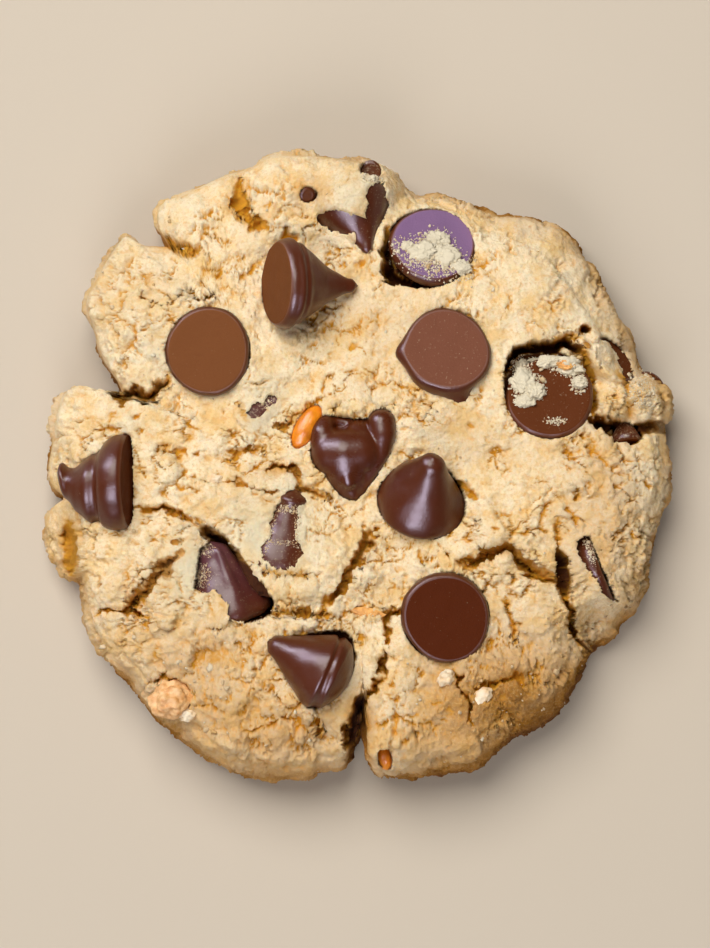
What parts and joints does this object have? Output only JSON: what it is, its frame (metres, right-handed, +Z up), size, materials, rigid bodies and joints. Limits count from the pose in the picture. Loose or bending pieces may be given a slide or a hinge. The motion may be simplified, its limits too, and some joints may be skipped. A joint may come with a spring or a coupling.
{
  "type": "chocolate chip cookie",
  "caption": "Thick round home-baked cookie with a cracked top, a ragged edge, and teardrop chocolate chips set in it at all angles.",
  "frame": {"origin": "middle of the flat underside, at the centre of the cookie's box seen from above", "axes": "+Z up out of the cookie's top, +Y towards the back lobe, +X towards its right-hand side"},
  "size_m": [0.0742, 0.0742, 0.0211],
  "materials": {
    "baked_dough": "baked dough, matte and crumbly, sandy gold with tan edges",
    "chocolate": "dark chocolate, satin where it softened in the oven, matte on the flat faces",
    "roast_peanut": "roasted peanut, tan-orange, dry",
    "butterscotch": "butterscotch candy, orange, slightly glossy"
  },
  "bodies": {
    "root": {"dough": "baked_dough", "chip_flat_left": "chocolate", "chip_flat_right": "chocolate", "chip_flat_back": "chocolate", "chip_flat_far_right": "chocolate", "chip_flat_front": "chocolate", "chip_lying_back": "chocolate", "chip_lying_left": "chocolate", "chip_lying_front": "chocolate", "chip_standing": "chocolate", "chip_swirl": "chocolate", "chip_sunk_left": "chocolate", "chip_sunk_middle": "chocolate", "chip_sunk_back": "chocolate", "chip_sunk_right": "chocolate", "chip_edge_back": "chocolate", "chip_edge_pocket": "chocolate", "chip_edge_right": "chocolate", "chip_veiled": "chocolate", "chip_bit_back": "chocolate", "chip_bit_left": "chocolate", "peanut_piece": "roast_peanut", "butterscotch_middle": "butterscotch", "butterscotch_front": "butterscotch"}
  },
  "joints": []
}
